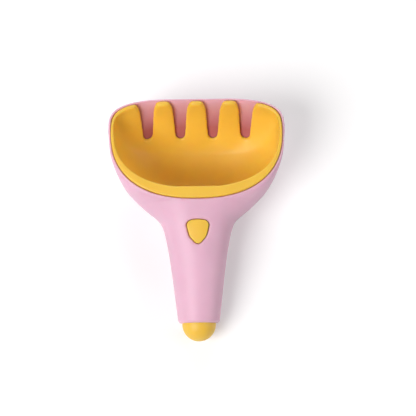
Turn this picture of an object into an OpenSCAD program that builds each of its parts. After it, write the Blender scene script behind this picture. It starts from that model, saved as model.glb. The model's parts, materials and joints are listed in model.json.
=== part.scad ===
// Sand rake: a scoop moulded in one piece with its handle, and a five-fingered rake insert nested in the bowl.
// The part lies on its back: +Y points from the handle to the lip, +Z up, the origin below the middle of its box.

/* [Head] */
// Width of the head across its rim
head_w = 120; // [105:1:140]
// Height of the rim above the surface that the rake lies on
rim_h = 48; // [44:1:56]
// Reach of the lip forward of the head's widest line
lip_reach = 23; // [20:1:28]
// Reach of the rim back from the head's widest line
heel_reach = 49; // [44:1:56]
// Wall of the shell
shell_wall = 2.4; // [2:0.1:2.8]
// Width of the shell's rim around the insert
rim_band = 1.4; // [1.2:0.1:2]
// Rounding of the rim's outer edge
rim_edge = 0.8; // [0.5:0.1:1]
// Depth that the flat base cuts off the rounded bottom
base_cut = 1.2; // [0.8:0.1:2]

/* [Handle] */
// Length of the handle behind the rim
handle_len = 77.3; // [75:0.1:100]
// Width of the handle where it leaves the shoulders
neck_w = 45; // [42:1:50]
// Drop of the handle's back below the rim where it leaves the shoulders
neck_drop = 7; // [5:0.5:9]
// Diameter of the handle's end
handle_end_d = 28; // [27:0.5:32]
// Rise of the underside below the neck
underside_rise = 4; // [2:0.5:6]
// Rounding of the handle's end
end_edge = 1.2; // [0.8:0.1:2]
// Lean of the handle's end, which faces back and a little down
end_lean = 6.5; // [0:0.5:10]

/* [Rake insert] */
// Gap between the insert and the shell
insert_gap = 0.5; // [0.4:0.1:0.8]
// Thickness of the insert's floor
insert_floor = 2.8; // [2.2:0.1:3.2]
// Width of the insert's rim at its sides
insert_rim = 2; // [1.6:0.1:2.4]
// Width of the seat that the insert's rim stands on, all round
seat_w = 0.3; // [0.2:0.1:0.5]
// Thickness of the fingers at their tips
finger_t = 3.4; // [2.6:0.1:4]
// Height of the insert's rim above the shell's rim
insert_proud = 1.2; // [0.6:0.1:2]
// Depth of the insert's rim flange below the shell's rim
flange_depth = 2.4; // [1.8:0.1:3]
// Width of the land along the heel of the rim
heel_land = 5.3; // [4:0.1:8]
// Number of slots between the fingers
slot_count = 4; // [3:1:5]
// Distance from slot to slot
slot_pitch = 22.7; // [20:0.1:23]
// Width of a slot at the finger tips
slot_top_w = 10.6; // [8:0.2:11]
// Width of a slot at its bottom
slot_foot_w = 6.2; // [5:0.1:6.8]
// Height of the outer slots' bottoms
slot_foot_h = 16; // [14:0.5:18]
// Drop of the slots' bottoms from the outer ones to the middle of the row
slot_drop = 3.6; // [0:0.2:4]
// Rounding of the finger tips
finger_tip_r = 4.5; // [3:0.5:5]

/* [Thumb button] */
// Width of the button
button_w = 14.6; // [13:0.2:16]
// Length of the button
button_len = 16.3; // [15:0.1:18]
// Distance of the button's middle behind the rim
button_back = 19.4; // [18:0.2:22]
// Height of the button above the handle's back
button_proud = 0.8; // [0.4:0.1:1.2]
// Gap around the button and below its guide
button_gap = 0.35; // [0.3:0.05:0.5]
// Depth of the guide around the button
guide_depth = 5; // [4.5:0.1:6]
// Wall of the guide, and width of the flange that stops below it
guide_wall = 1.8; // [1.5:0.1:2.5]
// Thickness of the button's flange
button_flange = 1.6; // [1.2:0.1:2]
// Length of the button's stem below its flange
stem_len = 6; // [5:0.5:7]
// Diameter of the button's stem
stem_d = 6; // [5:0.5:7]

/* [Catch spring] */
// Thickness of the spring strip
spring_t = 0.8; // [0.6:0.1:1]
// Width of the spring strip
spring_w = 6; // [5:0.5:7]
// Depth of the catch hole in the insert's heel below the rim
catch_depth = 18; // [16:0.5:20]
// Gap between the catch and its hole
catch_gap = 0.8; // [0.6:0.1:1.2]
// Depth of the catch past the land's inner edge
catch_in = 1.2; // [0.8:0.1:1.6]
// Height of the spring's post
post_h = 14; // [12:0.5:16]
// Length of the spring's foot on its post
foot_len = 9; // [8:0.5:12]

/* [End tip] */
// Diameter of the tip
tip_d = 22.9; // [21:0.1:25]
// Reach of the tip past the handle's end
tip_reach = 12.2; // [9:0.2:16]
// Diameter of the spigot that holds the tip
spigot_d = 18; // [16:0.5:19]
// Length of the spigot
spigot_len = 14; // [10:1:18]
// Gap around the spigot
spigot_gap = 0.1; // [0.05:0.05:0.2]

/* [Hidden] */
$fn = 48;
// Overrun of every cut
over = 1;
// Sharpness of the rim's lip and heel, of the bowl's walls, and of the handle
lip_power = 3.5;
heel_power = 2.4;
bowl_power = 2.6;
handle_power = 2;
// Share of the lip's curve that is drawn, so that the lip ends in a straight edge
lip_share = 0.985;
// Share of the rim's width and of the gap beside it that is left at the lip
lip_band_share = 0.7;
// Sharpness of the join between the rim's flat and the flat along the handle's back
flat_power = 3;
// Points along the bottom of a section, and along each of its shoulders
bottom_steps = 20;
shoulder_steps = 8;
// Steps of the curved stretches along the part
lip_shares = [1, 0.97, 0.91, 0.82, 0.71, 0.59, 0.47, 0.35, 0.23, 0.11, 0];
heel_shares = [0.07, 0.14, 0.22, 0.31, 0.41, 0.52, 0.63, 0.73, 0.81, 0.88, 0.93, 0.97, 0.99, 1];
neck_shares = [0.035, 0.07, 0.11, 0.15, 0.19, 0.225, 0.27, 0.34, 0.43, 0.55, 0.7, 0.85];
// Rise of the bowl's front wall towards the lip, in shares of the lip's reach and of the bowl's depth
front_wall_shares = [[-1, 0.96], [-0.78, 0.67], [-0.52, 0.42], [-0.26, 0.23], [0, 0.1], [0.3, 0.02], [0.6, 0]];
// Rise of the outside below the lip, in shares of the lip's reach and of the rim's height
front_shares = [[-1, 0.88], [-0.78, 0.6], [-0.52, 0.37], [-0.26, 0.21], [0, 0.1], [0.3, 0.02], [0.6, 0]];
// Rise of the bowl's heel wall, in shares of the heel's reach and of the bowl's depth
heel_wall_shares = [[0.6, 0], [0.82, 0.12], [0.93, 0.42], [1, 1]];
// Half width of the shoulders, in shares of the heel's reach and of the head's half width
shoulder_shares = [[0, 1], [0.4, 0.958], [0.77, 0.81], [1, 0.621]];
// Half width of the handle, in shares of its length and of the neck's half width
handle_shares = [[0.112, 1.18], [0.225, 1.01], [0.475, 0.847]];
// Height of the widest line along the shoulders, in shares of the heel's reach and of the rim's height
waist_shares = [[0, 0.98], [0.4, 0.95], [0.77, 0.76], [1, 0.62]];
// Height of the widest line at the neck, as a share of the neck's height
neck_waist_share = 0.57;
// Width of the flat along the neck's back, in shares of the handle's length and of the neck's own width
flat_shares = [[0, 0.15], [0.112, 0.18], [0.225, 0.2], [0.475, 0]];
// Height of the handle's back around the rim's heel, in shares of the handle's length and of the drop to the neck
back_shares = [[-0.112, 1.5], [0, 1], [0.112, 0.46]];
// Outline of the button: places and radii of its rounded corners, in shares of its width and length
button_corner_shares = [
    [-0.25, 0.243, 0.25], [0.25, 0.243, 0.25], [0, 0.36, 0.15], [0, -0.018, 0.425], [0, -0.323, 0.2]];

tail_reach = heel_reach + handle_len;
neck_reach = heel_reach + handle_shares[1][0] * handle_len;
tip_span = (tip_reach - tip_d / 2) * cos(end_lean) + tip_d / 2;
total_len = lip_reach + tail_reach + tip_span;
wide_y = total_len / 2 - lip_reach;
insert_in = rim_band + insert_gap;
insert_floor_h = shell_wall + insert_gap;
insert_top = rim_h + insert_proud;
ledge_h = rim_h - flange_depth - insert_gap;
neck_h = rim_h - neck_drop;
catch_h = rim_h - catch_depth;
button_reach = heel_reach + button_back;
tip_h = handle_end_d / 2;

// Cubic curve through a table of [place, value] pairs
function lean(t, a, b) = (t[b][1] - t[a][1]) / (t[b][0] - t[a][0]);
function slope_at(t, i) = lean(t, max(i - 1, 0), min(i + 1, len(t) - 1));
function span_of(t, u, i = 0) = i >= len(t) - 2 || u <= t[i + 1][0] ? i : span_of(t, u, i + 1);
function bend(a, b, p, q, s) =
    a * (2 * s ^ 3 - 3 * s ^ 2 + 1) + p * (s ^ 3 - 2 * s ^ 2 + s) + b * (3 * s ^ 2 - 2 * s ^ 3) + q * (s ^ 3 - s ^ 2);
function span_curve(t, i, w, u) =
    bend(t[i][1], t[i + 1][1], w * slope_at(t, i), w * slope_at(t, i + 1), (u - t[i][0]) / w);
function on_span(t, i, u) = span_curve(t, i, t[i + 1][0] - t[i][0], u);
function curve(t, u) = on_span(t, span_of(t, u), u);
function stretch(shares, place, value) = [for (p = shares) [p[0] * place, p[1] * value]];
function shifted(shares, start, place, value) = [for (p = shares) [start + p[0] * place, p[1] * value]];

// Profiles of the outside along the part, by the distance back from the widest line
side_table = concat(
    stretch(shoulder_shares, heel_reach, head_w / 2),
    shifted(handle_shares, heel_reach, handle_len, neck_w / 2),
    [[tail_reach, handle_end_d / 2]]);
waist_table = concat(
    stretch(waist_shares, heel_reach, rim_h),
    [[neck_reach, neck_waist_share * neck_h], [tail_reach, tip_h]]);
back_table = concat(
    [for (p = back_shares) [heel_reach + p[0] * handle_len, neck_h + p[1] * (rim_h - neck_h)]],
    [[neck_reach, neck_h], [tail_reach, handle_end_d]]);
flat_table = shifted(flat_shares, heel_reach, handle_len, 1);
belly_table = concat(
    [for (p = front_shares) [p[0] * lip_reach, p[1] * (rim_h + base_cut) - base_cut]],
    [[heel_wall_shares[1][0] * heel_reach, -base_cut],
     [neck_reach, underside_rise],
     [heel_reach + handle_shares[2][0] * handle_len, underside_rise],
     [tail_reach, 0]]);

// Half width of the rim's outline, drawn in by an inset, at a distance back from the widest line
function arc(half_w, reach, u, power) = half_w * max(0, 1 - (u / reach) ^ power) ^ (1 / power);
function lip_end(inset, crest = 0) = lip_reach - inset * lip_band_share - crest;
function rim_side(u, inset, land = 0, crest = 0) =
    u < 0 ? arc(head_w / 2 - inset, lip_end(inset, crest) / lip_share, -u, lip_power)
          : arc(head_w / 2 - inset, heel_reach - inset - land, u, heel_power);
function outer_side(u) = u < 0 ? rim_side(u, 0) : curve(side_table, u);
function waist(u) = u < 0 ? max(curve(belly_table, u), waist_shares[0][1] * rim_h) : curve(waist_table, u);
function back(u) = u < heel_reach ? rim_h : curve(back_table, u);
function flat_share(u) = u < heel_reach ? flat_shares[0][1] : max(0, curve(flat_table, min(u, flat_table[3][0])));
function rim_flat(u) = u < heel_reach ? rim_side(u, rim_edge) : 0;
function joined(a, b, power) = (a ^ power + b ^ power) ^ (1 / power);
function flat_top(u) =
    min(outer_side(u) - rim_edge, joined(rim_flat(u), flat_share(u) * outer_side(u), flat_power));
function power_at(u) = u < 0 ? bowl_power : max(handle_power, bowl_power - (bowl_power - handle_power) * u / heel_reach);

// Rounded lower half of a section, from the right side through the bottom to the left
function lower(half_w, top, bottom, power) = [for (k = [0 : bottom_steps])
    let (a = 180 * k / bottom_steps)
    [half_w * sign(cos(a)) * abs(cos(a)) ^ (2 / power), max(0, top - (top - bottom) * sin(a) ^ (2 / power))]];

// Shoulder of a section, from its flat top at the left down to its widest point, and from there up at the right
function shoulder(flat, half_w, top, middle, side) = [for (k = [1 : shoulder_steps])
    let (a = 90 * (side < 0 ? k : shoulder_steps + 1 - k) / (shoulder_steps + 1))
    [side * (flat + (half_w - flat) * cos(a)), middle + (top - middle) * sin(a)]];

function outline(flat, half_w, top, middle, bottom, power) = concat(
    lower(half_w, middle, bottom, power),
    shoulder(flat, half_w, top, middle, -1),
    [[-flat - rim_edge / 2, top], [flat + rim_edge / 2, top]],
    shoulder(flat, half_w, top, middle, 1));

function raised(points, u) = [for (p = points) [p[0], wide_y - u, p[1]]];

// Sections of the handle lean back more and more towards its end
function end_slant(u) = tan(end_lean) * max(0, u - neck_reach) / (tail_reach - neck_reach);
function leaned(points, u) = [for (p = points) [p[0], wide_y - u - end_slant(u) * (p[1] - tip_h), p[1]]];

// Section of the outside at a distance back from the widest line, drawn in by an inset and capped at a height
function body_ring(u, inset, cap) = leaned(outline(
    min(flat_top(u), outer_side(u) - inset - rim_edge),
    outer_side(u) - inset,
    min(back(u) - inset, cap),
    min(waist(u), cap - over),
    inset + max(curve(belly_table, u), inset > 0 ? 0 : -base_cut),
    power_at(u)), u);

// Section of the bowl, drawn in by an inset, with its heel and its lip shortened further, between two heights
function bowl_rise(u, inset, land, crest) = curve(concat(
    stretch([for (p = front_wall_shares) if (p[0] < heel_wall_shares[0][0]) p], lip_end(inset, crest), 1),
    stretch(heel_wall_shares, heel_reach - inset - land, 1)), u);
function bowl_section(half_w, rise, low, high) = concat(
    lower(half_w, ledge_h, low + (ledge_h - low) * rise, bowl_power),
    [[-half_w, high], [half_w, high]]);
function bowl_ring(u, inset, land, crest, low, high) = raised(
    bowl_section(rim_side(u, inset, land, crest), bowl_rise(u, inset, land, crest), low, high), u);

// Solid through a row of convex sections
module loft(rings) {
    for (i = [0 : len(rings) - 2])
        hull()
            polyhedron(concat(rings[i], rings[i + 1]), [[for (k = [0 : len(rings[i]) + len(rings[i + 1]) - 1]) k]]);
}

// Space of the bowl, drawn in by an inset, between its floor and a height
module bowl(inset, low, high, crest = 0) {
    front = lip_end(inset, crest);
    heel = lip_share * (heel_reach - inset - heel_land);
    loft(concat(
        [for (p = lip_shares) bowl_ring(-p * front, inset, heel_land, crest, low, high)],
        [for (p = heel_shares) bowl_ring(p * heel, inset, heel_land, crest, low, high)]));
}

// Outline of the rim, drawn in by an inset
module rim_plan(inset) {
    places = concat(
        [for (p = lip_shares) -p * lip_end(inset)],
        [for (p = heel_shares) p * (heel_reach - inset)]);
    right = [for (u = places) [rim_side(u, inset), wide_y - u]];
    left = [for (i = [len(places) - 1 : -1 : 0]) [-right[i][0], right[i][1]]];
    polygon(concat(right, left));
}

module rim_prism(inset, low, high) {
    translate([0, 0, low])
        linear_extrude(high - low)
            rim_plan(inset);
}

// Outside of head, shoulders and handle as one flowing body
module body() {
    loft(concat(
        [for (p = lip_shares) if (p > 0) body_ring(-p * lip_reach, 0, rim_h)],
        [for (p = heel_shares) body_ring(p * heel_reach, 0, rim_h)],
        [for (p = neck_shares) body_ring(heel_reach + p * handle_len, 0, rim_h)],
        [body_ring(tail_reach - end_edge, 0, rim_h), body_ring(tail_reach, end_edge, rim_h)]));
}

// Hollow of the handle, open towards the bowl behind the insert
module handle_hollow() {
    cap = ledge_h - shell_wall;
    inner = heel_wall_shares[0][0] * heel_reach;
    stop = tail_reach - spigot_len - shell_wall;
    loft(concat(
        [for (p = heel_shares) if (p * heel_reach > inner) body_ring(p * heel_reach, shell_wall, cap)],
        [for (p = neck_shares) if (heel_reach + p * handle_len < stop)
            body_ring(heel_reach + p * handle_len, shell_wall, cap)],
        [body_ring(stop, shell_wall, cap)]));
}

// Places its children on the handle's back, square to it
module on_back() {
    translate([0, wide_y - button_reach, back(button_reach)])
        rotate([button_tilt, 0, 0])
            children();
}

// Shield-shaped outline of the button, grown by a margin
module shield(margin) {
    hull()
        for (c = button_corner_shares)
            translate([c[0] * button_w, c[1] * button_len])
                circle(c[2] * button_w + margin, $fn = 32);
}

module shield_block(margin, low, high) {
    translate([0, 0, low])
        linear_extrude(high - low)
            shield(margin);
}

// Revolves a shape about the handle's axis at its end
module at_end() {
    translate([0, wide_y - tail_reach, tip_h])
        rotate([90 + end_lean, 0, 0])
            children();
}

module button_guide() {
    on_back()
        shield_block(button_gap + guide_wall, -guide_depth, shell_wall);
}

module spring_post() {
    far = wide_y - spring_tail();
    translate([-spring_w / 2, far, shell_wall / 2 + underside_rise / 2])
        cube([spring_w, foot_len, post_h - shell_wall / 2 - underside_rise / 2]);
}

// Lean of the handle's back at the button, and the foot of the button's stem by its distance back and its height
button_tilt = atan((back(button_reach - button_len / 2) - back(button_reach + button_len / 2)) / button_len);
stem_depth = guide_depth + button_gap + button_flange + stem_len;
stem_foot = [
    button_reach - stem_depth * sin(button_tilt),
    back(button_reach) - stem_depth * cos(button_tilt) - stem_d / 2 * sin(button_tilt)];

// Places of the spring along the handle: the tail of its foot and the catch in the insert's heel
function spring_tail() = button_reach + button_len / 2 + foot_len * 2;
function catch_reach() = heel_reach - insert_in - heel_land - insert_rim - catch_in;

module scoop_shell() {
    color("#efc6da")
        difference() {
            body();
            difference() {
                handle_hollow();
                button_guide();
                spring_post();
            }
            bowl(rim_band + seat_w, shell_wall, rim_h + over);
            rim_prism(rim_band, ledge_h, rim_h + over);
            on_back()
                shield_block(button_gap, -guide_depth - over, button_proud + over);
            at_end()
                translate([0, 0, -spigot_len - shell_wall - over])
                    cylinder(h = spigot_len + shell_wall + over * 2, d = spigot_d + spigot_gap * 2);
        }
}

// Height of a slot's bottom
function slot_foot(i) = slot_foot_h - slot_drop * (1 - abs(2 * i / (slot_count - 1) - 1));

// Openings between the fingers, seen from the front
module finger_gaps() {
    field_w = slot_pitch * slot_count;
    difference() {
        translate([-field_w / 2, 0])
            square([field_w, insert_top + over]);
        offset(r = finger_tip_r)
            offset(delta = -finger_tip_r)
                difference() {
                    translate([-field_w, -slot_foot_h])
                        square([field_w * 2, insert_top + slot_foot_h]);
                    for (i = [0 : slot_count - 1])
                        translate([(i - (slot_count - 1) / 2) * slot_pitch, 0])
                            hull() {
                                translate([0, slot_foot(i) + slot_foot_w / 2])
                                    circle(d = slot_foot_w, $fn = 32);
                                translate([-slot_top_w / 2, insert_top])
                                    square([slot_top_w, over]);
                            }
                }
    }
}

module rake_insert() {
    crest = finger_t - insert_rim * lip_band_share;
    color("#f2c14e")
        difference() {
            union() {
                bowl(insert_in + seat_w, insert_floor_h, rim_h);
                rim_prism(insert_in, rim_h - flange_depth, insert_top);
            }
            bowl(insert_in + insert_rim, insert_floor_h + insert_floor, insert_top + over, crest);
            translate([0, wide_y + lip_reach + over, 0])
                rotate([90, 0, 0])
                    linear_extrude(lip_reach + over)
                        finger_gaps();
            catch_hole();
        }
}

// Hole in the insert's heel for the catch
module catch_hole() {
    hole_w = spring_w + catch_gap * 2;
    hole_h = spring_t + catch_gap * 2;
    translate([-hole_w / 2, wide_y - catch_reach() - heel_land, catch_h - hole_h / 2])
        cube([hole_w, heel_land * 2, hole_h]);
}

module thumb_button() {
    stop = -guide_depth - button_gap;
    color("#f6c94f")
        on_back()
            union() {
                hull() {
                    shield_block(0, stop, 0);
                    shield_block(-button_proud, 0, button_proud);
                }
                shield_block(guide_wall, stop - button_flange, stop);
                translate([0, 0, stop - button_flange - stem_len])
                    cylinder(h = stem_len, d = stem_d);
            }
}

// Bent strip that holds the button up and reaches into the insert's heel
module catch_spring() {
    tail = spring_tail();
    nose = catch_reach();
    low = post_h + spring_t / 2;
    bends = [
        [tail - spring_t / 2, low],
        [tail - foot_len, low],
        [stem_foot[0], stem_foot[1] - button_gap - spring_t / 2],
        [nose + heel_land * 2, catch_h],
        [nose, catch_h]];
    color("#c9ccd0")
        translate([-spring_w / 2, 0, 0])
            rotate([90, 0, 90])
                linear_extrude(spring_w)
                    for (i = [0 : len(bends) - 2])
                        hull()
                            for (p = [bends[i], bends[i + 1]])
                                translate([wide_y - p[0], p[1]])
                                    circle(d = spring_t, $fn = 16);
}

// Rounded tip with the spigot that plugs the handle
module end_tip() {
    color("#f3c13f")
        at_end()
            rotate_extrude()
                union() {
                    translate([0, -spigot_len])
                        square([spigot_d / 2, spigot_len]);
                    intersection() {
                        translate([0, tip_reach - tip_d / 2])
                            union() {
                                circle(d = tip_d);
                                translate([0, -tip_d])
                                    square([tip_d / 2, tip_d]);
                            }
                        square([tip_d / 2, tip_reach]);
                    }
                }
}

scoop_shell();
rake_insert();
thumb_button();
catch_spring();
end_tip();
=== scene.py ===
"""Looks of the sand rake: a pink scoop with a tapering handle and a yellow five-fingered rake insert.

Every piece is in metres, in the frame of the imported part: +Y from the handle to the lip, and +Z up out
of the bowl.
"""

import json
import math

import bpy
from mathutils import Matrix, Vector


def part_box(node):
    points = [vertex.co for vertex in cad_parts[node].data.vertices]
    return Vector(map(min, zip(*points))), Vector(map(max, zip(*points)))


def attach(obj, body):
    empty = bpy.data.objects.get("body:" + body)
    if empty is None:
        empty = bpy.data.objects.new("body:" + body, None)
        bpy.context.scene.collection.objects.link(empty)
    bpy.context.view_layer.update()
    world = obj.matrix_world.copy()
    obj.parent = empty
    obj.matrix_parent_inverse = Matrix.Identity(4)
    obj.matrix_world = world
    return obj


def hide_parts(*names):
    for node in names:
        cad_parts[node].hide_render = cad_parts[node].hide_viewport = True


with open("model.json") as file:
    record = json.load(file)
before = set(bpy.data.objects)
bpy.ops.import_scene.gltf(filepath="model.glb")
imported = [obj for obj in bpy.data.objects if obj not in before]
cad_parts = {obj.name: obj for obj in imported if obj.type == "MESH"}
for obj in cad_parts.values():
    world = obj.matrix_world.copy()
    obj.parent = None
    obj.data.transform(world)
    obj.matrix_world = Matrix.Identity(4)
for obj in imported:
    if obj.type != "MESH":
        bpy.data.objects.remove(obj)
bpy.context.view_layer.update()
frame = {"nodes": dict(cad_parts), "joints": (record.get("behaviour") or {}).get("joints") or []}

bl_info = {
    "name": "Sand Rake",
    "version": (1, 0, 0),
    "blender": (4, 5, 0),
    "location": "View3D > Sidebar > Sand Rake",
    "description": "Models the sand rake's moulded pieces, their finishes and a plain studio",
    "category": "Object",
}

SHELL_LOW, SHELL_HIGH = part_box("scoop_shell")
RAKE_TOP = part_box("rake_insert")[1].z
TIP_LOW, TIP_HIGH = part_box("end_tip")
PRESS_AXIS = next(Vector(j["axis"]) for j in frame["joints"] if j["name"] == "button_press")

# Rise of the bowl's front wall, in shares of the lip's reach and of the bowl's depth
FRONT_WALL_SHARES = (
    (-1, 0.98), (-0.78, 0.63), (-0.52, 0.393), (-0.26, 0.215), (0, 0.094), (0.3, 0.02), (0.6, 0))
# Rise of the outside below the lip, in shares of the lip's reach and of the rim's height
FRONT_SHARES = (
    (-1, 0.88), (-0.78, 0.6), (-0.52, 0.37), (-0.26, 0.21), (0, 0.1), (0.3, 0.02), (0.6, 0))
# Rise of the bowl's heel wall, in shares of the heel's reach and of the bowl's depth
HEEL_WALL_SHARES = ((0.6, 0), (0.82, 0.12), (0.93, 0.42), (1, 1))
# Half width of the shoulders, in shares of the heel's reach and of the head's half width
SHOULDER_SHARES = ((0, 1), (0.4, 0.958), (0.77, 0.81), (1, 0.621))
# Half width of the handle, in shares of its length and of the neck's half width
HANDLE_SHARES = ((0.112, 1.18), (0.225, 1.01), (0.475, 0.847))
# Height of the widest line, in shares of the heel's reach and of the rim's height, and its share at the neck
WAIST_SHARES = ((0, 0.98), (0.4, 0.95), (0.77, 0.76), (1, 0.62))
NECK_WAIST_SHARE = 0.57
# Width of the flat along the neck's back, in shares of the handle's length and of the neck's own width
FLAT_SHARES = ((0, 0.15), (0.112, 0.18), (0.225, 0.2), (0.475, 0))
# Height of the handle's back, in shares of the handle's length and of the drop to the neck
BACK_SHARES = ((-0.112, 1.5), (0, 1), (0.112, 0.46))
# Rounded corners of the button: places and radii, in shares of its width and length
BUTTON_CORNER_SHARES = (
    (-0.25, 0.243, 0.25), (0.25, 0.243, 0.25), (0, 0.36, 0.15), (0, -0.018, 0.425), (0, -0.323, 0.2))
# Share of the curves that is drawn, so that lip and heel end in a straight edge
DRAWN_SHARE = 0.985
# Share of the rim's width and of the gap beside it that is left at the lip
LIP_BAND_SHARE = 0.7
# Share of the gap around the insert that is open below the groove
SEAT_GAP_SHARE = 0.75
# Start of the fingers' crowns behind the widest line, as a share of the lip's reach
CROWN_START = 0.1
# Height at which the painted shade inside the scoop reaches its darkest coral, as a share of the ledge's
# height
PAINTED_SHADE_SHARE = 0.45
# Sharpness of the rim's lip and heel, of the bowl's walls and of the handle
LIP_POWER = 3.5
HEEL_POWER = 2.4
BOWL_POWER = 2.6
HANDLE_POWER = 2.0
# Sharpness of the join between the rim's flat and the flat along the handle's back
FLAT_POWER = 3.0
# Overrun of every cut, overlap of joined solids, and distance at which points are one
OVER = 0.001
JOIN = OVER / 4
SAME = 1e-6

# Sections along the outside's lip, head and handle, along the hollow, and along the bowl's lip and heel
LIP_SECTIONS = 40
HEAD_SECTIONS = 70
HANDLE_SECTIONS = 40
HOLLOW_SECTIONS = 50
BOWL_SECTIONS = (40, 56)
# Steps around the lower half of a section of the outside, the hollow and the bowl
OUTSIDE_STEPS = 72
HOLLOW_STEPS = 48
BOWL_STEPS = 96
# Points along the rim's lip and heel, around a slot's foot and along its flank
RIM_POINTS = (60, 80)
FOOT_POINTS = 25
FLANK_POINTS = 60
# Points around the button and a round outline, along the tip's dome and around the tip
SHIELD_POINTS = 96
CIRCLE_POINTS = 64
DOME_POINTS = 40
TIP_STEPS = 96
# Angle in degrees above which an edge of the tip stays crisp
CRISP_ANGLE = 35

SCOOP_SOFTENING = (0.0012, 0.00075, 6)
INSERT_SOFTENING = (0.0009, 0.0005, 12)
BUTTON_SOFTENING = (0.0003, 0.0003, 8)
SMOOTHING = 0.5
# Rounds of the finger tips' further smoothing, and the share of it that the fingers get below their tips
FINGER_ROUNDS = 110
FLANK_SHARE = 0.4

# Moulded plastic: scale and detail of the noise in its clouding, gloss and grain, and how far each goes
CLOUDING_NOISE = (45, 3)
CLOUDING_RANGE = (0.3, 0.7)
CLOUDING_TINTS = (0.97, 1.03)
GLOSS_NOISE = (220, 4)
GLOSS_SPREAD = 0.05
GRAIN_NOISE = (2600, 2)
GRAIN_STRENGTH = 0.04
GRAIN_DEPTH = 0.0002
PLASTIC_IOR = 1.49
# Share of the light that goes into the plastic, and how far
SUBSURFACE_SHARE = 0.5
SUBSURFACE_DEPTH = 0.003
# Rolled steel: stretch, scale and shade of its streaks, and its least and most roughness
STREAK_STRETCH = (1, 0.03, 0.03)
STREAK_SCALE = 3000
STREAK_SHADE = 0.85
STEEL_ROUGHNESS = (0.2, 0.4)

# Floor: side in metres, squares along it, colour, roughness and shine
FLOOR_SIZE = 6
FLOOR_SQUARES = 8
FLOOR_COLOUR = (0.82, 0.81, 0.81, 1)
FLOOR_ROUGHNESS = 0.9
FLOOR_SHINE = 0.1
# Light that the floor adds for the camera and in reflections, so that its lit part is white
FLOOR_GLOW = 0.29
WHITE = (1, 1, 1, 1)
# Lamps: azimuth and elevation in degrees, diameter in metres, and level as the light on a sheet that faces it
LAMPS = {
    "key": (217, 47, 0.8, 0.92),
    "right_fill": (0, 30, 0.8, 0.3),
    "back_fill": (90, 30, 0.8, 0.38),
}
LAMP_DISTANCE = 1.2
ROOM_LEVEL = 0.08
# Camera: width of the sensor in millimetres, and the farthest that it sees in metres
SENSOR = 36
FARTHEST = 20


def length(name, default, description):
    """A size in metres that a user can change."""
    return bpy.props.FloatProperty(
        name=name, description=description, default=default, unit="LENGTH", precision=5)


def angle(name, degrees, description):
    """An angle that a user can change, given in degrees."""
    return bpy.props.FloatProperty(
        name=name, description=description, default=math.radians(degrees), subtype="ANGLE")


def share(name, default, description):
    """A value between nothing and all."""
    return bpy.props.FloatProperty(name=name, description=description, default=default, min=0.0, max=1.0)


def colour(name, default, description):
    """A colour in linear light."""
    return bpy.props.FloatVectorProperty(
        name=name, description=description, default=default, subtype="COLOR", size=3, min=0.0, max=1.0)


class ScoopSizes(bpy.types.PropertyGroup):
    """Sizes of the scoop, its handle and the tip on its end."""

    head_w: length("Head width", SHELL_HIGH.x - SHELL_LOW.x, "Width of the head across its rim")
    rim_h: length("Rim height", SHELL_HIGH.z, "Height of the rim above the ground")
    lip_reach: length("Lip reach", 0.023, "Reach of the lip forward of the widest line")
    heel_reach: length("Heel reach", 0.049, "Reach of the rim back from the widest line")
    handle_len: length("Handle length", 0.0773, "Length of the handle behind the rim")
    wall: length("Wall", 0.0024, "Wall of the shell")
    rim_band: length("Rim band", 0.0014, "Width of the rim around the insert")
    rim_edge: length("Rim edge", 0.0008, "Rounding of the rim's outer edge")
    base_cut: length("Base cut", 0.0012, "Depth that the flat base cuts off the rounded bottom")
    neck_w: length("Neck width", 0.045, "Width of the handle where it leaves the shoulders")
    neck_drop: length("Neck drop", 0.007, "Drop of the handle's back below the rim at the neck")
    end_d: length("Handle end", 0.028, "Diameter of the handle's end")
    end_edge: length("Handle end edge", 0.0012, "Rounding of the handle's end")
    end_lean: angle("End lean", 6.5, "Lean of the handle's end, which faces back and a little down")
    underside_rise: length("Underside rise", 0.004, "Rise of the underside below the neck")
    tip_reach: length("Tip reach", 0.0122, "Reach of the tip past the handle's end")
    spigot_d: length("Spigot", 0.018, "Diameter of the tip's spigot")
    spigot_len: length("Spigot length", 0.014, "Length of the tip's spigot")
    spigot_gap: length("Spigot gap", 0.0001, "Gap around the spigot")


class RakeSizes(bpy.types.PropertyGroup):
    """Sizes of the rake insert."""

    gap: length("Gap", 0.0005, "Gap between the insert and the scoop")
    groove: length("Groove", 0.0005, "Depth of the groove that shows around the insert")
    floor: length("Floor", 0.0028, "Thickness of the insert's floor")
    rim: length("Rim", 0.002, "Width of the insert's rim at its sides")
    finger_t: length("Finger thickness", 0.0034, "Thickness of the fingers at their tips")
    flange_depth: length("Flange depth", 0.0024, "Depth of the rim flange below the scoop's rim")
    seat_w: length("Seat", 0.0003, "Width of the seat below the flange, all round")
    heel_land: length("Heel land", 0.0053, "Width of the land along the heel")
    slot_count: bpy.props.IntProperty(name="Slots", description="Slots between the fingers", default=4)
    slot_pitch: length("Slot pitch", 0.0227, "Distance from slot to slot")
    slot_top_w: length("Slot mouth", 0.0106, "Width of a slot at the finger tips")
    slot_foot_w: length("Slot foot", 0.0062, "Width of a slot at its bottom")
    slot_foot_h: length("Slot foot height", 0.016, "Height of the outer slots' bottoms")
    slot_drop: length("Slot drop", 0.0036, "Drop of the slots' bottoms from the outer ones to the middle")
    tip_r: length("Finger tip radius", 0.0032, "Rounding of the finger tips across their width")
    tip_h: length("Finger tip height", 0.0105, "Height over which the finger tips are rounded")
    crown: length("Finger crown", 0.0026, "Rise of each finger's face between its edges")


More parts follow.
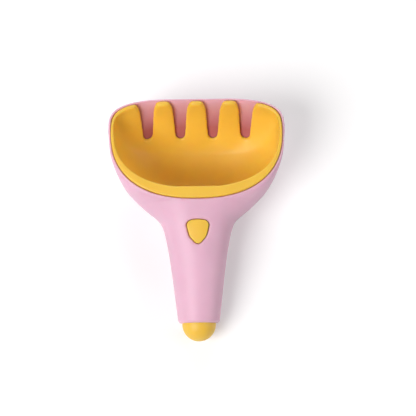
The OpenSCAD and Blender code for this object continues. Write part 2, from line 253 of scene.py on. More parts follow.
class ButtonSizes(bpy.types.PropertyGroup):
    """Sizes of the thumb button."""

    width: length("Width", 0.0146, "Width of the button")
    length: length("Length", 0.0163, "Length of the button")
    back: length("Distance", 0.0194, "Distance of the button's middle behind the rim")
    proud: length("Proud", 0.0008, "Height of the button above the handle's back")
    gap: length("Gap", 0.00035, "Gap around the button and below its guide")
    guide_depth: length("Guide depth", 0.005, "Depth of the guide around the button")
    guide_wall: length("Guide wall", 0.0018, "Wall of the guide, and width of the flange below it")
    flange: length("Flange", 0.0016, "Thickness of the flange")
    stem_len: length("Stem length", 0.006, "Length of the stem below the flange")
    stem_d: length("Stem", 0.006, "Diameter of the stem")
    dome: length("Dome", 0.0006, "Rise of the button's middle above its edge")


class SpringSizes(bpy.types.PropertyGroup):
    """Sizes of the catch spring, its post and the hole that it catches in."""

    width: length("Width", 0.006, "Width of the spring's strip")
    thickness: length("Thickness", 0.0008, "Thickness of the spring's strip")
    catch_depth: length("Catch depth", 0.018, "Depth of the catch hole below the rim")
    catch_gap: length("Catch gap", 0.0008, "Gap between the catch and its hole")
    catch_in: length("Catch reach", 0.0012, "Depth of the catch past the land's inner edge")
    post_h: length("Post height", 0.014, "Height of the spring's post")
    foot_len: length("Foot length", 0.009, "Length of the spring's foot on its post")


class Finish(bpy.types.PropertyGroup):
    """Colours of the moulded plastics and the spring, and the coral of the shade painted into the scoop
    between the fingers.
    """

    pink: colour("Pink", (0.835, 0.50, 0.635), "Colour of the scoop")
    # Painted shade: a dark coral in place of the shade and yellow bounce between the fingers; the scoop
    # itself is pink throughout
    painted_shade: colour("Coral", (0.48, 0.145, 0.165), "Colour that the scoop's inside shows between the fingers")
    yellow: colour("Yellow", (0.94, 0.575, 0.07), "Colour of the insert, the button and the tip")
    steel: colour("Steel", (0.55, 0.56, 0.58), "Colour of the spring")
    satin: share("Roughness", 0.48, "Roughness of the moulded plastics")


class StudioSizes(bpy.types.PropertyGroup):
    """Place, angles and frame of the camera."""

    target: bpy.props.FloatVectorProperty(
        name="Target", description="Point on the camera's axis",
        default=(0.0, SHELL_HIGH.y - 0.063, 0.030), unit="LENGTH")
    distance: length("Distance", 0.9, "Distance of the camera from the target")
    elevation: angle("Elevation", 75, "Camera's angle above the floor")
    roll: angle("Roll", 0.78, "Camera's roll about its axis")
    focal_px: bpy.props.FloatProperty(
        name="Focal length", description="Focal length in pixels of the picture", default=1317.0)
    axis_px: bpy.props.FloatVectorProperty(
        name="Axis", description="Pixel that the camera's axis meets", size=2, default=(197.36, 194.3))
    picture_px: bpy.props.IntProperty(
        name="Picture", description="Width of the picture in pixels", default=416)


def deselect():
    """Leaves nothing selected, so that an operator acts on the new piece alone."""
    bpy.ops.object.select_all(action="DESELECT")


def modify(obj, kind, **settings):
    """Adds a modifier with its settings and applies it."""
    deselect()
    obj.select_set(True)
    bpy.context.view_layer.objects.active = obj
    modifier = obj.modifiers.new(kind.title(), kind)
    for key, value in settings.items():
        setattr(modifier, key, value)
    bpy.ops.object.modifier_apply(modifier=modifier.name)


def combine(obj, other, operation="DIFFERENCE"):
    """Cuts another solid out of a piece, or joins it, and removes the other."""
    modify(obj, "BOOLEAN", object=other, operation=operation, solver="EXACT")
    bpy.data.objects.remove(other)


def close_mesh():
    """Merges doubles, fills open ends and turns the faces outwards, in edit mode."""
    bpy.ops.mesh.select_all(action="SELECT")
    bpy.ops.mesh.remove_doubles(threshold=SAME)
    bpy.ops.mesh.fill_holes(sides=0)
    bpy.ops.mesh.select_all(action="SELECT")
    bpy.ops.mesh.normals_make_consistent(inside=False)


def loft(name, rings):
    """A closed solid through a row of rings with as many points each: a grid that is shaped ring by ring."""
    around = len(rings[0])
    deselect()
    bpy.ops.mesh.primitive_grid_add(x_subdivisions=around, y_subdivisions=len(rings) - 1)
    obj = bpy.context.object
    obj.name = name
    places = [point for ring in rings for point in (*ring, ring[0])]
    for vertex, place in zip(obj.data.vertices, places):
        vertex.co = place
    bpy.ops.object.mode_set(mode="EDIT")
    close_mesh()
    bpy.ops.object.mode_set(mode="OBJECT")
    return obj


def block(name, outline, low, high, turn=Matrix.Identity(4)):
    """A prism on a flat outline of (x, y) points between two heights, then turned into place."""
    deselect()
    bpy.ops.mesh.primitive_circle_add(vertices=len(outline), fill_type="NGON")
    obj = bpy.context.object
    obj.name = name
    for vertex, (x, y) in zip(obj.data.vertices, outline):
        vertex.co = (x, y, low)
    bpy.ops.object.mode_set(mode="EDIT")
    bpy.ops.mesh.select_all(action="SELECT")
    bpy.ops.mesh.extrude_region_move(TRANSFORM_OT_translate={"value": (0, 0, high - low)})
    bpy.ops.mesh.select_all(action="SELECT")
    bpy.ops.mesh.normals_make_consistent(inside=False)
    bpy.ops.object.mode_set(mode="OBJECT")
    obj.data.transform(turn)
    return obj


def soften(obj, quick_voxel, voxel, rounds):
    """Gives a piece the soft edges of a moulding: an even fine mesh, smoothed a little."""
    modify(obj, "REMESH", mode="VOXEL", voxel_size=voxel)
    modify(obj, "SMOOTH", factor=SMOOTHING, iterations=rounds)
    deselect()
    obj.select_set(True)
    bpy.ops.object.shade_smooth()


def finish_piece(obj, material, body, node):
    """Gives a piece its finish, ties it to the body and hides the node that it stands for."""
    obj.data.materials.clear()
    obj.data.materials.append(material)
    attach(obj, body)
    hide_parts(node)


def held(value):
    """A value held between nothing and all."""
    return min(1.0, max(0.0, value))


def spread(start, end, count):
    """Evenly spaced values from start to end."""
    return [start + (end - start) * i / (count - 1) for i in range(count)]


def eased(start, end, count):
    """Values from start to end that crowd at the end."""
    return [start + (end - start) * math.sin(math.pi / 2 * i / (count - 1)) for i in range(count)]


def from_lip(front, heel, counts):
    """Places from the lip past the widest line to the heel, crowded at both ends."""
    return [-u for u in reversed(eased(0, front, counts[0]))] + eased(0, heel, counts[1])[1:]


def curve(table, place):
    """Cubic curve through a table of (place, value) pairs."""
    last = len(table) - 1
    i = 0
    while i < last - 1 and place > table[i + 1][0]:
        i += 1

    def slope(k):
        (p, a), (q, b) = table[max(k - 1, 0)], table[min(k + 1, last)]
        return (b - a) / (q - p)

    (p, a), (q, b) = table[i], table[i + 1]
    w = q - p
    s = (place - p) / w
    return (a * (2 * s**3 - 3 * s**2 + 1) + w * slope(i) * (s**3 - 2 * s**2 + s)
            + b * (3 * s**2 - 2 * s**3) + w * slope(i + 1) * (s**3 - s**2))


def arc(half_w, reach, u, power):
    """Half width of a rounded outline at a distance from its widest line."""
    return half_w * max(0.0, 1 - (u / reach) ** power) ** (1 / power)


def lower_half(half_w, top, bottom, power, steps):
    """Rounded lower half of a section, from the right side through the bottom to the left."""
    points = []
    for k in range(steps + 1):
        a = math.pi * k / steps
        reach, sink = abs(math.cos(a)) ** (2 / power), abs(math.sin(a)) ** (2 / power)
        points.append((math.copysign(half_w * reach, math.cos(a)), top - (top - bottom) * sink))
    return points


class RakeForm:
    """Profiles of the rake along its length, by the distance u back from the head's widest line."""

    def __init__(self, scoop, rake):
        self.scoop = scoop
        self.rake = rake
        self.wide_y = SHELL_HIGH.y - scoop.lip_reach
        self.tail = scoop.heel_reach + scoop.handle_len
        self.neck_h = scoop.rim_h - scoop.neck_drop
        self.ledge_h = scoop.rim_h - rake.flange_depth - rake.gap
        self.insert_in = scoop.rim_band + rake.gap
        heel, handle, tail_h = scoop.heel_reach, scoop.handle_len, scoop.end_d / 2
        self.neck_u = neck_u = heel + HANDLE_SHARES[1][0] * handle
        self.sides = (
            [(p * heel, v * scoop.head_w / 2) for p, v in SHOULDER_SHARES]
            + [(heel + p * handle, v * scoop.neck_w / 2) for p, v in HANDLE_SHARES]
            + [(self.tail, tail_h)])
        self.waists = (
            [(p * heel, v * scoop.rim_h) for p, v in WAIST_SHARES]
            + [(neck_u, NECK_WAIST_SHARE * self.neck_h), (self.tail, tail_h)])
        self.backs = (
            [(heel + p * handle, self.neck_h + v * scoop.neck_drop) for p, v in BACK_SHARES]
            + [(neck_u, self.neck_h), (self.tail, scoop.end_d)])
        self.flats = [(heel + p * handle, v) for p, v in FLAT_SHARES]
        depth, cut, rise = scoop.rim_h + scoop.base_cut, scoop.base_cut, scoop.underside_rise
        self.bellies = (
            [(p * scoop.lip_reach, v * depth - cut) for p, v in FRONT_SHARES]
            + [(HEEL_WALL_SHARES[1][0] * heel, -cut), (neck_u, rise),
               (heel + HANDLE_SHARES[2][0] * handle, rise), (self.tail, 0)])

    def lip_end(self, inset, crest=0.0):
        """Reach of the lip forward of the widest line, drawn in by an inset."""
        return self.scoop.lip_reach - inset * LIP_BAND_SHARE - crest

    def rim_side(self, u, inset, land=0.0, crest=0.0):
        """Half width of the rim's outline, drawn in by an inset."""
        half_w = self.scoop.head_w / 2 - inset
        if u < 0:
            return arc(half_w, self.lip_end(inset, crest) / DRAWN_SHARE, -u, LIP_POWER)
        return arc(half_w, self.scoop.heel_reach - inset - land, u, HEEL_POWER)

    def side(self, u):
        """Half width of the outside at its widest line."""
        return self.rim_side(u, 0) if u < 0 else curve(self.sides, u)

    def waist(self, u):
        """Height of the outside's widest line."""
        if u < 0:
            return max(curve(self.bellies, u), WAIST_SHARES[0][1] * self.scoop.rim_h)
        return curve(self.waists, u)

    def back(self, u):
        """Height of the outside's top: the rim, and the handle's back behind it."""
        return self.scoop.rim_h if u < self.scoop.heel_reach else curve(self.backs, u)

    def flat_top(self, u):
        """Half width of the flat along the top of a section."""
        edge = self.scoop.rim_edge
        if u < self.scoop.heel_reach:
            rim, back = self.rim_side(u, edge), FLAT_SHARES[0][1] * self.side(u)
            flat = (rim**FLAT_POWER + back**FLAT_POWER) ** (1 / FLAT_POWER)
        else:
            flat = max(0.0, curve(self.flats, min(u, self.flats[-1][0]))) * self.side(u)
        return min(self.side(u) - edge, flat)

    def body_ring(self, u, inset=0.0, cap=math.inf, steps=OUTSIDE_STEPS):
        """Section of the outside, drawn in by an inset and capped at a height."""
        half_w = self.side(u) - inset
        flat = min(self.flat_top(u), half_w - self.scoop.rim_edge)
        top = min(self.back(u) - inset, cap)
        middle = min(self.waist(u), top - OVER)
        floor = 0 if inset else -self.scoop.base_cut
        bottom = inset + max(curve(self.bellies, u), floor)
        power = BOWL_POWER if u < 0 else max(
            HANDLE_POWER, BOWL_POWER - (BOWL_POWER - HANDLE_POWER) * u / self.scoop.heel_reach)

        def shoulder(side, a):
            return side * (flat + (half_w - flat) * math.cos(a)), middle + (top - middle) * math.sin(a)

        points = [(x, max(0.0, z)) for x, z in lower_half(half_w, middle, bottom, power, steps)]
        turn = [math.pi / 2 * k / (steps // 4) for k in range(1, steps // 4)]
        points += [shoulder(-1, a) for a in turn]
        points += [(x, top) for x in spread(-flat, flat, steps // 3)]
        points += [shoulder(1, a) for a in reversed(turn)]
        slant = math.tan(self.scoop.end_lean) * max(0.0, u - self.neck_u) / (self.tail - self.neck_u)
        axis_h = self.scoop.end_d / 2
        return [(x, self.wide_y - u - slant * (z - axis_h), z) for x, z in points]

    def bowl_rise(self, u, inset, crest):
        """Rise of the bowl's floor, as a share of its depth."""
        front = self.lip_end(inset, crest)
        heel = self.scoop.heel_reach - inset - self.rake.heel_land
        table = [(p * front, v) for p, v in FRONT_WALL_SHARES if p < HEEL_WALL_SHARES[0][0]]
        return curve(table + [(p * heel, v) for p, v in HEEL_WALL_SHARES], u)

    def bowl_ring(self, u, inset, low, edge, high, crest=0.0, swell=None):
        """Section of the bowl from its floor past its edge; swell lifts the floor across the width."""
        half_w = self.rim_side(u, inset, self.rake.heel_land, crest)
        bottom = low + (edge - low) * self.bowl_rise(u, inset, crest)
        points = lower_half(half_w, edge, bottom, BOWL_POWER, BOWL_STEPS)
        if swell:
            points = [(x, z + swell(u, x)) for x, z in points]
        points += [(x, high) for x in spread(-half_w, half_w, BOWL_STEPS // 3)]
        return [(x, self.wide_y - u, z) for x, z in points]

    def bowl(self, name, inset, low, edge, high, crest=0.0, swell=None):
        """Space of the bowl, drawn in by an inset, from its floor past its edge to a height."""
        front = self.lip_end(inset, crest)
        heel = DRAWN_SHARE * (self.scoop.heel_reach - inset - self.rake.heel_land)
        places = from_lip(front, heel, BOWL_SECTIONS)
        return loft(name, [self.bowl_ring(u, inset, low, edge, high, crest, swell) for u in places])

    def rim_block(self, name, inset, low, high):
        """Prism on the rim's outline, drawn in by an inset."""
        places = from_lip(self.lip_end(inset), self.scoop.heel_reach - inset, RIM_POINTS)
        right = [(self.rim_side(u, inset), self.wide_y - u) for u in places]
        left = [(-x, y) for x, y in reversed(right) if x > 0]
        return block(name, right + left, low, high)


def on_back(form, button):
    """Matrix that places a shape on the handle's back, square to it, at the button."""
    u = form.scoop.heel_reach + button.back
    tilt = math.atan2(PRESS_AXIS.y, -PRESS_AXIS.z)
    return Matrix.Translation((0, form.wide_y - u, form.back(u))) @ Matrix.Rotation(tilt, 4, "X")


def at_end(form):
    """Matrix that stands a shape's Z axis on the handle's leaning end, pointing away from it."""
    place = Matrix.Translation((0, form.wide_y - form.tail, form.scoop.end_d / 2))
    return place @ Matrix.Rotation(math.pi / 2 + form.scoop.end_lean, 4, "X")


def shield(button, margin):
    """Shield-shaped outline of the button, grown by a margin: its corners' farthest reach at each angle."""
    corners = [
        (x * button.width, y * button.length, r * button.width + margin)
        for x, y, r in BUTTON_CORNER_SHARES]
    points = []
    for k in range(SHIELD_POINTS):
        a = 2 * math.pi * k / SHIELD_POINTS
        reaches = [x * math.cos(a) + y * math.sin(a) + r for x, y, r in corners]
        x, y, r = corners[reaches.index(max(reaches))]
        points.append((x + r * math.cos(a), y + r * math.sin(a)))
    return points


def round_outline(radius):
    """A circle as an outline of points."""
    angles = [2 * math.pi * k / CIRCLE_POINTS for k in range(CIRCLE_POINTS)]
    return [(radius * math.cos(a), radius * math.sin(a)) for a in angles]


def rectangle(width, near, far):
    """A rectangle about the middle line, between two places along it."""
    return [(-width / 2, near), (width / 2, near), (width / 2, far), (-width / 2, far)]


def new_finish(name):
    """A new material with its nodes, their links and its shader."""
    material = bpy.data.materials.new(name)
    material.use_nodes = True
    tree = material.node_tree
    return material, tree.nodes, tree.links, tree.nodes["Principled BSDF"]


# Plastics that are made already, by name
plastics = {}


def plastic(name, base, roughness):
    """Satin moulded plastic: faint clouding in its colour, uneven gloss and a fine mould texture."""
    if name in plastics:
        return plastics[name]
    material, nodes, links, shader = new_finish(name)
    plastics[name] = material
    place = nodes.new("ShaderNodeTexCoord")

    def noise(scale, detail):
        node = nodes.new("ShaderNodeTexNoise")
        node.inputs["Scale"].default_value = scale
        node.inputs["Detail"].default_value = detail
        links.new(place.outputs["Object"], node.inputs["Vector"])
        return node.outputs["Fac"]

    clouding = nodes.new("ShaderNodeValToRGB")
    for stop, position, tint in zip(clouding.color_ramp.elements, CLOUDING_RANGE, CLOUDING_TINTS):
        stop.position = position
        stop.color = (*(min(1, c * tint) for c in base), 1)
    links.new(noise(*CLOUDING_NOISE), clouding.inputs["Fac"])
    links.new(clouding.outputs["Color"], shader.inputs["Base Color"])
    gloss = nodes.new("ShaderNodeMapRange")
    gloss.inputs["To Min"].default_value = roughness - GLOSS_SPREAD
    gloss.inputs["To Max"].default_value = roughness + GLOSS_SPREAD
    links.new(noise(*GLOSS_NOISE), gloss.inputs["Value"])
    links.new(gloss.outputs["Result"], shader.inputs["Roughness"])
    grain = nodes.new("ShaderNodeBump")
    grain.inputs["Strength"].default_value = GRAIN_STRENGTH
    grain.inputs["Distance"].default_value = GRAIN_DEPTH
    links.new(noise(*GRAIN_NOISE), grain.inputs["Height"])
    links.new(grain.outputs["Normal"], shader.inputs["Normal"])
    shader.inputs["IOR"].default_value = PLASTIC_IOR
    shader.inputs["Subsurface Weight"].default_value = SUBSURFACE_SHARE
    shader.inputs["Subsurface Radius"].default_value = tuple(base)
    shader.inputs["Subsurface Scale"].default_value = SUBSURFACE_DEPTH
    return material


def yellow_plastic(finish):
    """The one yellow of the insert, the button and the tip."""
    return plastic("yellow_plastic", finish.yellow, finish.satin)


def painted_shade_plastic(name, base, roughness, shade_colour, high, low):
    """Moulded plastic with painted shade: its colour darkens from one height down to another."""
    material = plastic(name, base, roughness)
    nodes, links = material.node_tree.nodes, material.node_tree.links
    shader = nodes["Principled BSDF"]
    surface = shader.inputs["Base Color"].links[0].from_socket
    place = nodes.new("ShaderNodeTexCoord")
    axes = nodes.new("ShaderNodeSeparateXYZ")
    links.new(place.outputs["Object"], axes.inputs["Vector"])
    # Painted shade: none at the higher height, full at the lower
    depth = nodes.new("ShaderNodeMapRange")
    depth.inputs["From Min"].default_value = high
    depth.inputs["From Max"].default_value = low
    links.new(axes.outputs["Z"], depth.inputs["Value"])
    mix = nodes.new("ShaderNodeMixRGB")
    mix.inputs["Color2"].default_value = (*shade_colour, 1)
    links.new(depth.outputs["Result"], mix.inputs["Fac"])
    links.new(surface, mix.inputs["Color1"])
    links.new(mix.outputs["Color"], shader.inputs["Base Color"])
    return material


def spring_steel(base):
    """Bright rolled strip with fine streaks along its length."""
    material, nodes, links, shader = new_finish("spring_steel")
    shader.inputs["Metallic"].default_value = 1.0
    place = nodes.new("ShaderNodeTexCoord")
    along = nodes.new("ShaderNodeMapping")
    along.inputs["Scale"].default_value = STREAK_STRETCH
    streaks = nodes.new("ShaderNodeTexNoise")
    streaks.inputs["Scale"].default_value = STREAK_SCALE
    tint = nodes.new("ShaderNodeValToRGB")
    tint.color_ramp.elements[0].color = (*(c * STREAK_SHADE for c in base), 1)
    tint.color_ramp.elements[1].color = (*base, 1)
    gloss = nodes.new("ShaderNodeMapRange")
    gloss.inputs["To Min"].default_value = STEEL_ROUGHNESS[0]
    gloss.inputs["To Max"].default_value = STEEL_ROUGHNESS[1]
    links.new(place.outputs["Object"], along.inputs["Vector"])
    links.new(along.outputs["Vector"], streaks.inputs["Vector"])
    links.new(streaks.outputs["Fac"], tint.inputs["Fac"])
    links.new(tint.outputs["Color"], shader.inputs["Base Color"])
    links.new(streaks.outputs["Fac"], gloss.inputs["Value"])
    links.new(gloss.outputs["Result"], shader.inputs["Roughness"])
    return material


class SandRakeOperator:
    """What every operator of the rake shares."""

    bl_options = {"REGISTER", "UNDO"}

    def form(self, context):
        """Profiles of the rake for the scene's sizes."""
        return RakeForm(context.scene.scoop_sizes, context.scene.rake_sizes)


class SAND_RAKE_OT_scoop(SandRakeOperator, bpy.types.Operator):
    """Model the scoop: bowl, shoulders and hollow handle as one moulding"""

    bl_idname = "sand_rake.scoop"
    bl_label = "Scoop"

    def outside(self, form):
        """Solid of the whole scoop, through sections from its lip to the handle's end."""
        scoop = form.scoop
        lip = [-u for u in reversed(eased(0, scoop.lip_reach, LIP_SECTIONS))]
        head = spread(0, form.neck_u, HEAD_SECTIONS)[1:]
        handle = spread(form.neck_u, form.tail - scoop.end_edge, HANDLE_SECTIONS)[1:]
        rings = [form.body_ring(u) for u in lip + head + handle]
        rings.append(form.body_ring(form.tail, scoop.end_edge))
        return loft("scoop", rings)

    def inside(self, form, button, spring):
        """Space in the shoulders and the handle, around the button's guide and the spring's post."""
        scoop = form.scoop
        cap = form.ledge_h - scoop.wall
        start = HEEL_WALL_SHARES[0][0] * scoop.heel_reach
        stop = form.tail - scoop.spigot_len - scoop.wall
        places = spread(start, stop, HOLLOW_SECTIONS)
        hollow = loft("hollow", [form.body_ring(u, scoop.wall, cap, HOLLOW_STEPS) for u in places])
        guide = shield(button, button.gap + button.guide_wall)
        combine(hollow, block("guide", guide, -button.guide_depth, scoop.wall, on_back(form, button)))
        foot = form.wide_y - scoop.heel_reach - button.back - button.length / 2 - spring.foot_len * 2
        post = rectangle(spring.width, foot, foot + spring.foot_len)
        combine(hollow, block("post", post, 0, spring.post_h))
        return hollow

    def open_bowl(self, shell, form):
        """Cuts the bowl, the insert's seat and the groove that shows around the insert."""
        scoop, rake = form.scoop, form.rake
        top = scoop.rim_h + OVER
        bowl_in = scoop.rim_band + rake.seat_w
        combine(shell, form.bowl("bowl_space", bowl_in, scoop.wall, scoop.rim_h, top))
        seat_in = scoop.rim_band + rake.gap * SEAT_GAP_SHARE
        combine(shell, form.rim_block("insert_seat", seat_in, form.ledge_h, top))
        combine(shell, form.rim_block("groove", scoop.rim_band, scoop.rim_h - rake.groove, top))

    def open_handle(self, shell, form, button):
        """Cuts the button's window and the bore for the tip's spigot."""
        scoop = form.scoop
        window = shield(button, button.gap)
        low, high = -button.guide_depth - OVER, button.proud + OVER
        combine(shell, block("window", window, low, high, on_back(form, button)))
        bore = round_outline(scoop.spigot_d / 2 + scoop.spigot_gap)
        depth = scoop.spigot_len + scoop.wall + OVER
        combine(shell, block("bore", bore, -depth, 2 * OVER, at_end(form)))

    def paint_bowl_shade(self, shell, form, finish):
        """Paints shade on the bowl below the ledge: pink darkening to coral downwards, for the shade between
        the fingers.
        """
        scoop = form.scoop
        painted_shade_h = form.ledge_h * PAINTED_SHADE_SHARE
        inside = painted_shade_plastic("pink_painted_shade", finish.pink, finish.satin, finish.painted_shade, form.ledge_h, painted_shade_h)
        shell.data.materials.append(inside)
        # The bowl's upward faces inside the insert's outline and below the ledge get the painted shade
        for face in shell.data.polygons:
            u = form.wide_y - face.center.y
            if -scoop.lip_reach < u < scoop.heel_reach and face.normal.z > 0 and face.center.z < form.ledge_h:
                face.material_index = int(abs(face.center.x) < form.rim_side(u, scoop.rim_band))

    def execute(self, context):
        scene = context.scene
        form, button, finish = self.form(context), scene.button_sizes, scene.rake_finish
        shell = self.outside(form)
        combine(shell, self.inside(form, button, scene.spring_sizes))
        self.open_bowl(shell, form)
        self.open_handle(shell, form, button)
        soften(shell, *SCOOP_SOFTENING)
        pink = plastic("pink_plastic", finish.pink, finish.satin)
        finish_piece(shell, pink, "scoop", "scoop_shell")
        self.paint_bowl_shade(shell, form, finish)
        return {"FINISHED"}


class SAND_RAKE_OT_insert(SandRakeOperator, bpy.types.Operator):
    """Model the rake insert: a dish with a land along its heel and five soft fingers"""

    bl_idname = "sand_rake.insert"
    bl_label = "Rake insert"

    def dish(self, form):
        """The insert before it is cut: a flanged dish whose front is crowned finger by finger."""
        scoop, rake = form.scoop, form.rake
        floor_h = scoop.wall + rake.gap
        bowl_in = form.insert_in + rake.seat_w
        insert = form.bowl("rake_insert_soft", bowl_in, floor_h, scoop.rim_h, scoop.rim_h)
        flange_h = scoop.rim_h - rake.flange_depth
        combine(insert, form.rim_block("flange", form.insert_in, flange_h, RAKE_TOP), "UNION")

        def swell(u, x):
            fade = held(-u / scoop.lip_reach + CROWN_START)
            return rake.crown * fade * math.cos(2 * math.pi * x / rake.slot_pitch)

        crest = rake.finger_t - rake.rim * LIP_BAND_SHARE
        dish_in, dish_h = form.insert_in + rake.rim, floor_h + rake.floor
        combine(insert, form.bowl("dish", dish_in, dish_h, RAKE_TOP, RAKE_TOP + OVER, crest, swell))
        return insert

    def slot_outline(self, rake, foot_h):
        """A slot between two fingers seen from the front: round foot, leaning flanks and flared mouth."""
        foot_r = rake.slot_foot_w / 2
        points = [(foot_r * math.cos(a), foot_h + foot_r + foot_r * math.sin(a))
                  for a in spread(math.pi, 2 * math.pi, FOOT_POINTS)]
        rise = RAKE_TOP - foot_h - foot_r
        for t in spread(0, 1, FLANK_POINTS)[1:]:
            z = foot_h + foot_r + rise * t
            over = max(0.0, z - (RAKE_TOP - rake.tip_h)) / rake.tip_h
            flare = rake.tip_r * (1 - math.sqrt(max(0.0, 1 - over**2)))
            points.append((foot_r + (rake.slot_top_w / 2 - foot_r) * t + flare, z))
        points.append((points[-1][0], RAKE_TOP + OVER))
        left = [(-x, z) for x, z in reversed(points[FOOT_POINTS:])]
        return points + left

    def cut_slots(self, insert, form):
        """Cuts the slots between the fingers, which reach lower towards the middle of the row."""
        scoop, rake = form.scoop, form.rake
        upright = Matrix.Rotation(math.pi / 2, 4, "X")
        last = rake.slot_count - 1
        for i in range(rake.slot_count):
            inward = 1 - abs(2 * i / last - 1)
            outline = self.slot_outline(rake, rake.slot_foot_h - rake.slot_drop * inward)
            x = (i - last / 2) * rake.slot_pitch
            place = Matrix.Translation((x, form.wide_y + scoop.lip_reach + OVER, 0)) @ upright
            combine(insert, block("slot", outline, 0, scoop.lip_reach + OVER, place))

    def cut_catch_hole(self, insert, form, spring):
        """Cuts the hole below the heel's land that the spring catches in."""
        scoop, rake = form.scoop, form.rake
        reach = scoop.heel_reach - form.insert_in - rake.heel_land - rake.rim - spring.catch_in
        near = form.wide_y - reach - rake.heel_land
        hole = rectangle(spring.width + spring.catch_gap * 2, near, near + rake.heel_land * 2)
        middle, half_h = scoop.rim_h - spring.catch_depth, spring.thickness / 2 + spring.catch_gap
        combine(insert, block("catch_hole", hole, middle - half_h, middle + half_h))

    def smooth_fingers(self, insert, form):
        """Rounds the fingers forward of the widest line, and their tips the most."""
        fingers = insert.vertex_groups.new(name="fingers")
        for vertex in insert.data.vertices:
            forward = held(2 * (vertex.co.y - form.wide_y) / form.scoop.lip_reach)
            up = held(1 - (RAKE_TOP - vertex.co.z) / form.rake.tip_h)
            weight = forward * (FLANK_SHARE + (1 - FLANK_SHARE) * up)
            fingers.add([vertex.index], weight, "REPLACE")
        modify(insert, "SMOOTH", factor=SMOOTHING, iterations=FINGER_ROUNDS, vertex_group="fingers")

    def execute(self, context):
        scene = context.scene
        form = self.form(context)
        insert = self.dish(form)
        self.cut_slots(insert, form)
        self.cut_catch_hole(insert, form, scene.spring_sizes)
        soften(insert, *INSERT_SOFTENING)
        self.smooth_fingers(insert, form)
        finish_piece(insert, yellow_plastic(scene.rake_finish), "rake", "rake_insert")
        return {"FINISHED"}


class SAND_RAKE_OT_button(SandRakeOperator, bpy.types.Operator):
    """Model the thumb button: a low shield with a soft edge, its flange and its stem"""

    bl_idname = "sand_rake.button"
    bl_label = "Thumb button"

    def execute(self, context):
        form, button = self.form(context), context.scene.button_sizes
        stop = -button.guide_depth - button.gap
        foot = stop - button.flange
        cap = block("thumb_button_soft", shield(button, 0), stop, button.proud)
        flange = shield(button, button.guide_wall)
        combine(cap, block("flange", flange, foot, stop + JOIN), "UNION")
        stem = round_outline(button.stem_d / 2)
        combine(cap, block("stem", stem, foot - button.stem_len, foot + JOIN), "UNION")
        soften(cap, *BUTTON_SOFTENING)
        edge = button.width / 2
        for vertex in cap.data.vertices:
            if vertex.co.z > 0:
                vertex.co.z += button.dome * max(0.0, 1 - vertex.co.xy.length_squared / edge**2)
        cap.data.transform(on_back(form, button))
        yellow = yellow_plastic(context.scene.rake_finish)
        finish_piece(cap, yellow, "button", "thumb_button")
        return {"FINISHED"}


class SAND_RAKE_OT_tip(SandRakeOperator, bpy.types.Operator):
    """Model the end tip: a dome spun about the handle's axis, with its spigot"""

    bl_idname = "sand_rake.tip"
    bl_label = "End tip"

    def profile(self, scoop):
        """Half of the tip's section, as distances from its axis and along it."""
        radius = (TIP_HIGH.x - TIP_LOW.x) / 2
        straight = scoop.tip_reach - radius
        turn = spread(0, math.pi / 2, DOME_POINTS)
        dome = [(radius * math.cos(a), straight + radius * math.sin(a)) for a in turn]
        spigot = scoop.spigot_d / 2
        points = [(0.0, -scoop.spigot_len), (spigot, -scoop.spigot_len), (spigot, 0.0), (radius, 0.0)]
        return points + dome[:-1] + [(0.0, scoop.tip_reach)]

    def execute(self, context):
        form = self.form(context)
        profile = self.profile(form.scoop)
        deselect()
        bpy.ops.mesh.primitive_circle_add(vertices=len(profile))
        tip = bpy.context.object
        tip.name = "end_tip_dome"
        for vertex, (r, z) in zip(tip.data.vertices, profile):
            vertex.co = (r, 0, z)
        bpy.ops.object.mode_set(mode="EDIT")
        bpy.ops.mesh.select_all(action="SELECT")
        bpy.ops.mesh.spin(steps=TIP_STEPS, angle=2 * math.pi, center=(0, 0, 0), axis=(0, 0, 1))
        close_mesh()
        bpy.ops.object.mode_set(mode="OBJECT")
        tip.data.transform(at_end(form))
        deselect()
        tip.select_set(True)
        bpy.ops.object.shade_smooth_by_angle(angle=math.radians(CRISP_ANGLE))
        finish_piece(tip, yellow_plastic(context.scene.rake_finish), "scoop", "end_tip")
        return {"FINISHED"}


class SAND_RAKE_OT_spring(SandRakeOperator, bpy.types.Operator):
    """Give the catch spring its bright steel"""

    bl_idname = "sand_rake.spring"
    bl_label = "Catch spring"

    def execute(self, context):
        spring = frame["nodes"]["catch_spring"]
        spring.data.materials.clear()
        spring.data.materials.append(spring_steel(context.scene.rake_finish.steel))
        return {"FINISHED"}


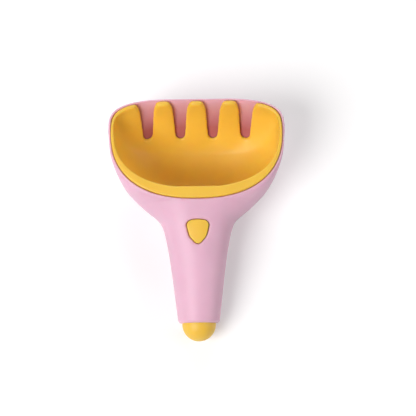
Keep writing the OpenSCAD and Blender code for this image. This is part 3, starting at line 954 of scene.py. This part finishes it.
class SAND_RAKE_OT_studio(bpy.types.Operator):
    """Set the floor, the lamps and the camera"""

    bl_idname = "sand_rake.studio"
    bl_label = "Studio"
    bl_options = {"REGISTER", "UNDO"}

    def add_floor(self):
        """Lays white paper under the rake, with a glow that only the camera and reflections see."""
        deselect()
        bpy.ops.mesh.primitive_grid_add(
            x_subdivisions=FLOOR_SQUARES, y_subdivisions=FLOOR_SQUARES, size=FLOOR_SIZE)
        floor = bpy.context.object
        floor.name = "floor"
        material, nodes, links, shader = new_finish("white_paper")
        shader.inputs["Base Color"].default_value = FLOOR_COLOUR
        shader.inputs["Roughness"].default_value = FLOOR_ROUGHNESS
        shader.inputs["Specular IOR Level"].default_value = FLOOR_SHINE
        shader.inputs["Emission Color"].default_value = WHITE
        rays = nodes.new("ShaderNodeLightPath")
        seen = rays.outputs["Is Camera Ray"]
        for kind in ("Is Glossy Ray", "Is Transmission Ray"):
            either = nodes.new("ShaderNodeMath")
            either.operation = "ADD"
            links.new(seen, either.inputs[0])
            links.new(rays.outputs[kind], either.inputs[1])
            seen = either.outputs[0]
        glow = nodes.new("ShaderNodeMath")
        glow.operation = "MULTIPLY"
        glow.inputs[1].default_value = FLOOR_GLOW
        links.new(seen, glow.inputs[0])
        links.new(glow.outputs[0], shader.inputs["Emission Strength"])
        floor.data.materials.append(material)

    def add_lamp(self, name, azimuth, elevation, size, level):
        """Hangs a round lamp that faces the rake's middle."""
        target = Vector((
            (SHELL_LOW.x + SHELL_HIGH.x) / 2, (SHELL_LOW.y + SHELL_HIGH.y) / 2, SHELL_HIGH.z / 2))
        a, e = math.radians(azimuth), math.radians(elevation)
        away = Vector((math.cos(e) * math.cos(a), math.cos(e) * math.sin(a), math.sin(e)))
        deselect()
        bpy.ops.object.light_add(type="AREA", location=target + away * LAMP_DISTANCE)
        lamp = bpy.context.object
        lamp.name = name
        lamp.data.shape = "DISK"
        lamp.data.size = size
        lamp.data.energy = level * (math.pi * LAMP_DISTANCE) ** 2
        lamp.rotation_euler = (-away).to_track_quat("-Z", "Y").to_euler()

    def add_camera(self, sizes):
        """Sets the camera behind the handle, high above it, with the picture's frame."""
        deselect()
        bpy.ops.object.camera_add()
        camera = bpy.context.object
        e, a = sizes.elevation, sizes.roll
        forward = Vector((0, math.cos(e), -math.sin(e)))
        up = Vector((0, math.sin(e), math.cos(e)))
        right = Vector((1, 0, 0))
        right, up = right * math.cos(a) - up * math.sin(a), right * math.sin(a) + up * math.cos(a)
        turn = Matrix((right, up, -forward)).transposed().to_4x4()
        camera.matrix_world = Matrix.Translation(Vector(sizes.target) - forward * sizes.distance) @ turn
        camera.data.sensor_width = SENSOR
        camera.data.lens = SENSOR * sizes.focal_px / sizes.picture_px
        camera.data.shift_x = 0.5 - sizes.axis_px[0] / sizes.picture_px
        camera.data.shift_y = sizes.axis_px[1] / sizes.picture_px - 0.5
        camera.data.clip_end = FARTHEST
        bpy.context.scene.camera = camera

    def execute(self, context):
        scene = context.scene
        self.add_floor()
        for name, settings in LAMPS.items():
            self.add_lamp(name, *settings)
        world = scene.world or bpy.data.worlds.new("studio")
        scene.world = world
        world.use_nodes = True
        background = world.node_tree.nodes["Background"]
        background.inputs["Color"].default_value = WHITE
        background.inputs["Strength"].default_value = ROOM_LEVEL
        scene.view_settings.view_transform = "Standard"
        self.add_camera(scene.studio_sizes)
        return {"FINISHED"}


class SAND_RAKE_PT_sidebar(bpy.types.Panel):
    """Lists the rake's pieces in the sidebar"""

    bl_label = "Sand Rake"
    bl_idname = "SAND_RAKE_PT_sidebar"
    bl_space_type = "VIEW_3D"
    bl_region_type = "UI"
    bl_category = "Sand Rake"

    def draw(self, context):
        for operator in OPERATORS:
            self.layout.operator(operator.bl_idname)


GROUPS = {
    "scoop_sizes": ScoopSizes,
    "rake_sizes": RakeSizes,
    "button_sizes": ButtonSizes,
    "spring_sizes": SpringSizes,
    "rake_finish": Finish,
    "studio_sizes": StudioSizes,
}
OPERATORS = (
    SAND_RAKE_OT_scoop,
    SAND_RAKE_OT_insert,
    SAND_RAKE_OT_button,
    SAND_RAKE_OT_tip,
    SAND_RAKE_OT_spring,
    SAND_RAKE_OT_studio,
)
CLASSES = (*GROUPS.values(), *OPERATORS, SAND_RAKE_PT_sidebar)


def register():
    for cls in CLASSES:
        bpy.utils.register_class(cls)
    for name, group in GROUPS.items():
        setattr(bpy.types.Scene, name, bpy.props.PointerProperty(type=group))


def unregister():
    for name in GROUPS:
        delattr(bpy.types.Scene, name)
    for cls in reversed(CLASSES):
        bpy.utils.unregister_class(cls)


def main():
    register()
    bpy.ops.sand_rake.scoop()
    bpy.ops.sand_rake.insert()
    bpy.ops.sand_rake.button()
    bpy.ops.sand_rake.tip()
    bpy.ops.sand_rake.spring()
    bpy.ops.sand_rake.studio()


if __name__ == "__main__":
    main()
